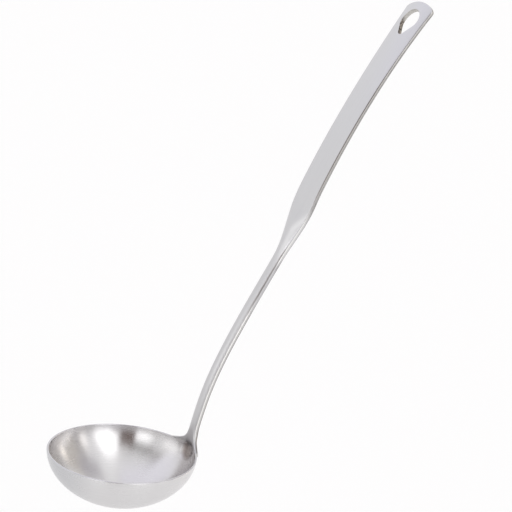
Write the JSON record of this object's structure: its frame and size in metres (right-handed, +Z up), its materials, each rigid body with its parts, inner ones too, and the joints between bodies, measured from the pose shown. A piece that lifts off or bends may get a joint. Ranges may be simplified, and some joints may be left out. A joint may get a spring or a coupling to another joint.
{
  "type": "soup ladle",
  "caption": "All-metal soup ladle: a round deep-drawn bowl welded to a forged handle with a narrow shank, a wide grip and a teardrop hanging hole.",
  "frame": {"origin": "centre of the bowl's flat foot", "axes": "+Z up along the bowl's axis, +X from the bowl towards the handle, the ladle is symmetric about the XZ plane"},
  "size_m": [0.2189, 0.09, 0.3109],
  "materials": {
    "bowl_steel": "satin stainless steel, turned brushing round the bowl, bright ground rim",
    "weld_steel": "ground flush and blended into the handle's foot",
    "handle_steel": "fine satin stainless steel, with polished long edges and a rough punched hole"
  },
  "bodies": {
    "root": {"bowl": "bowl_steel", "root_weld": "weld_steel", "handle": "handle_steel"}
  },
  "joints": []
}
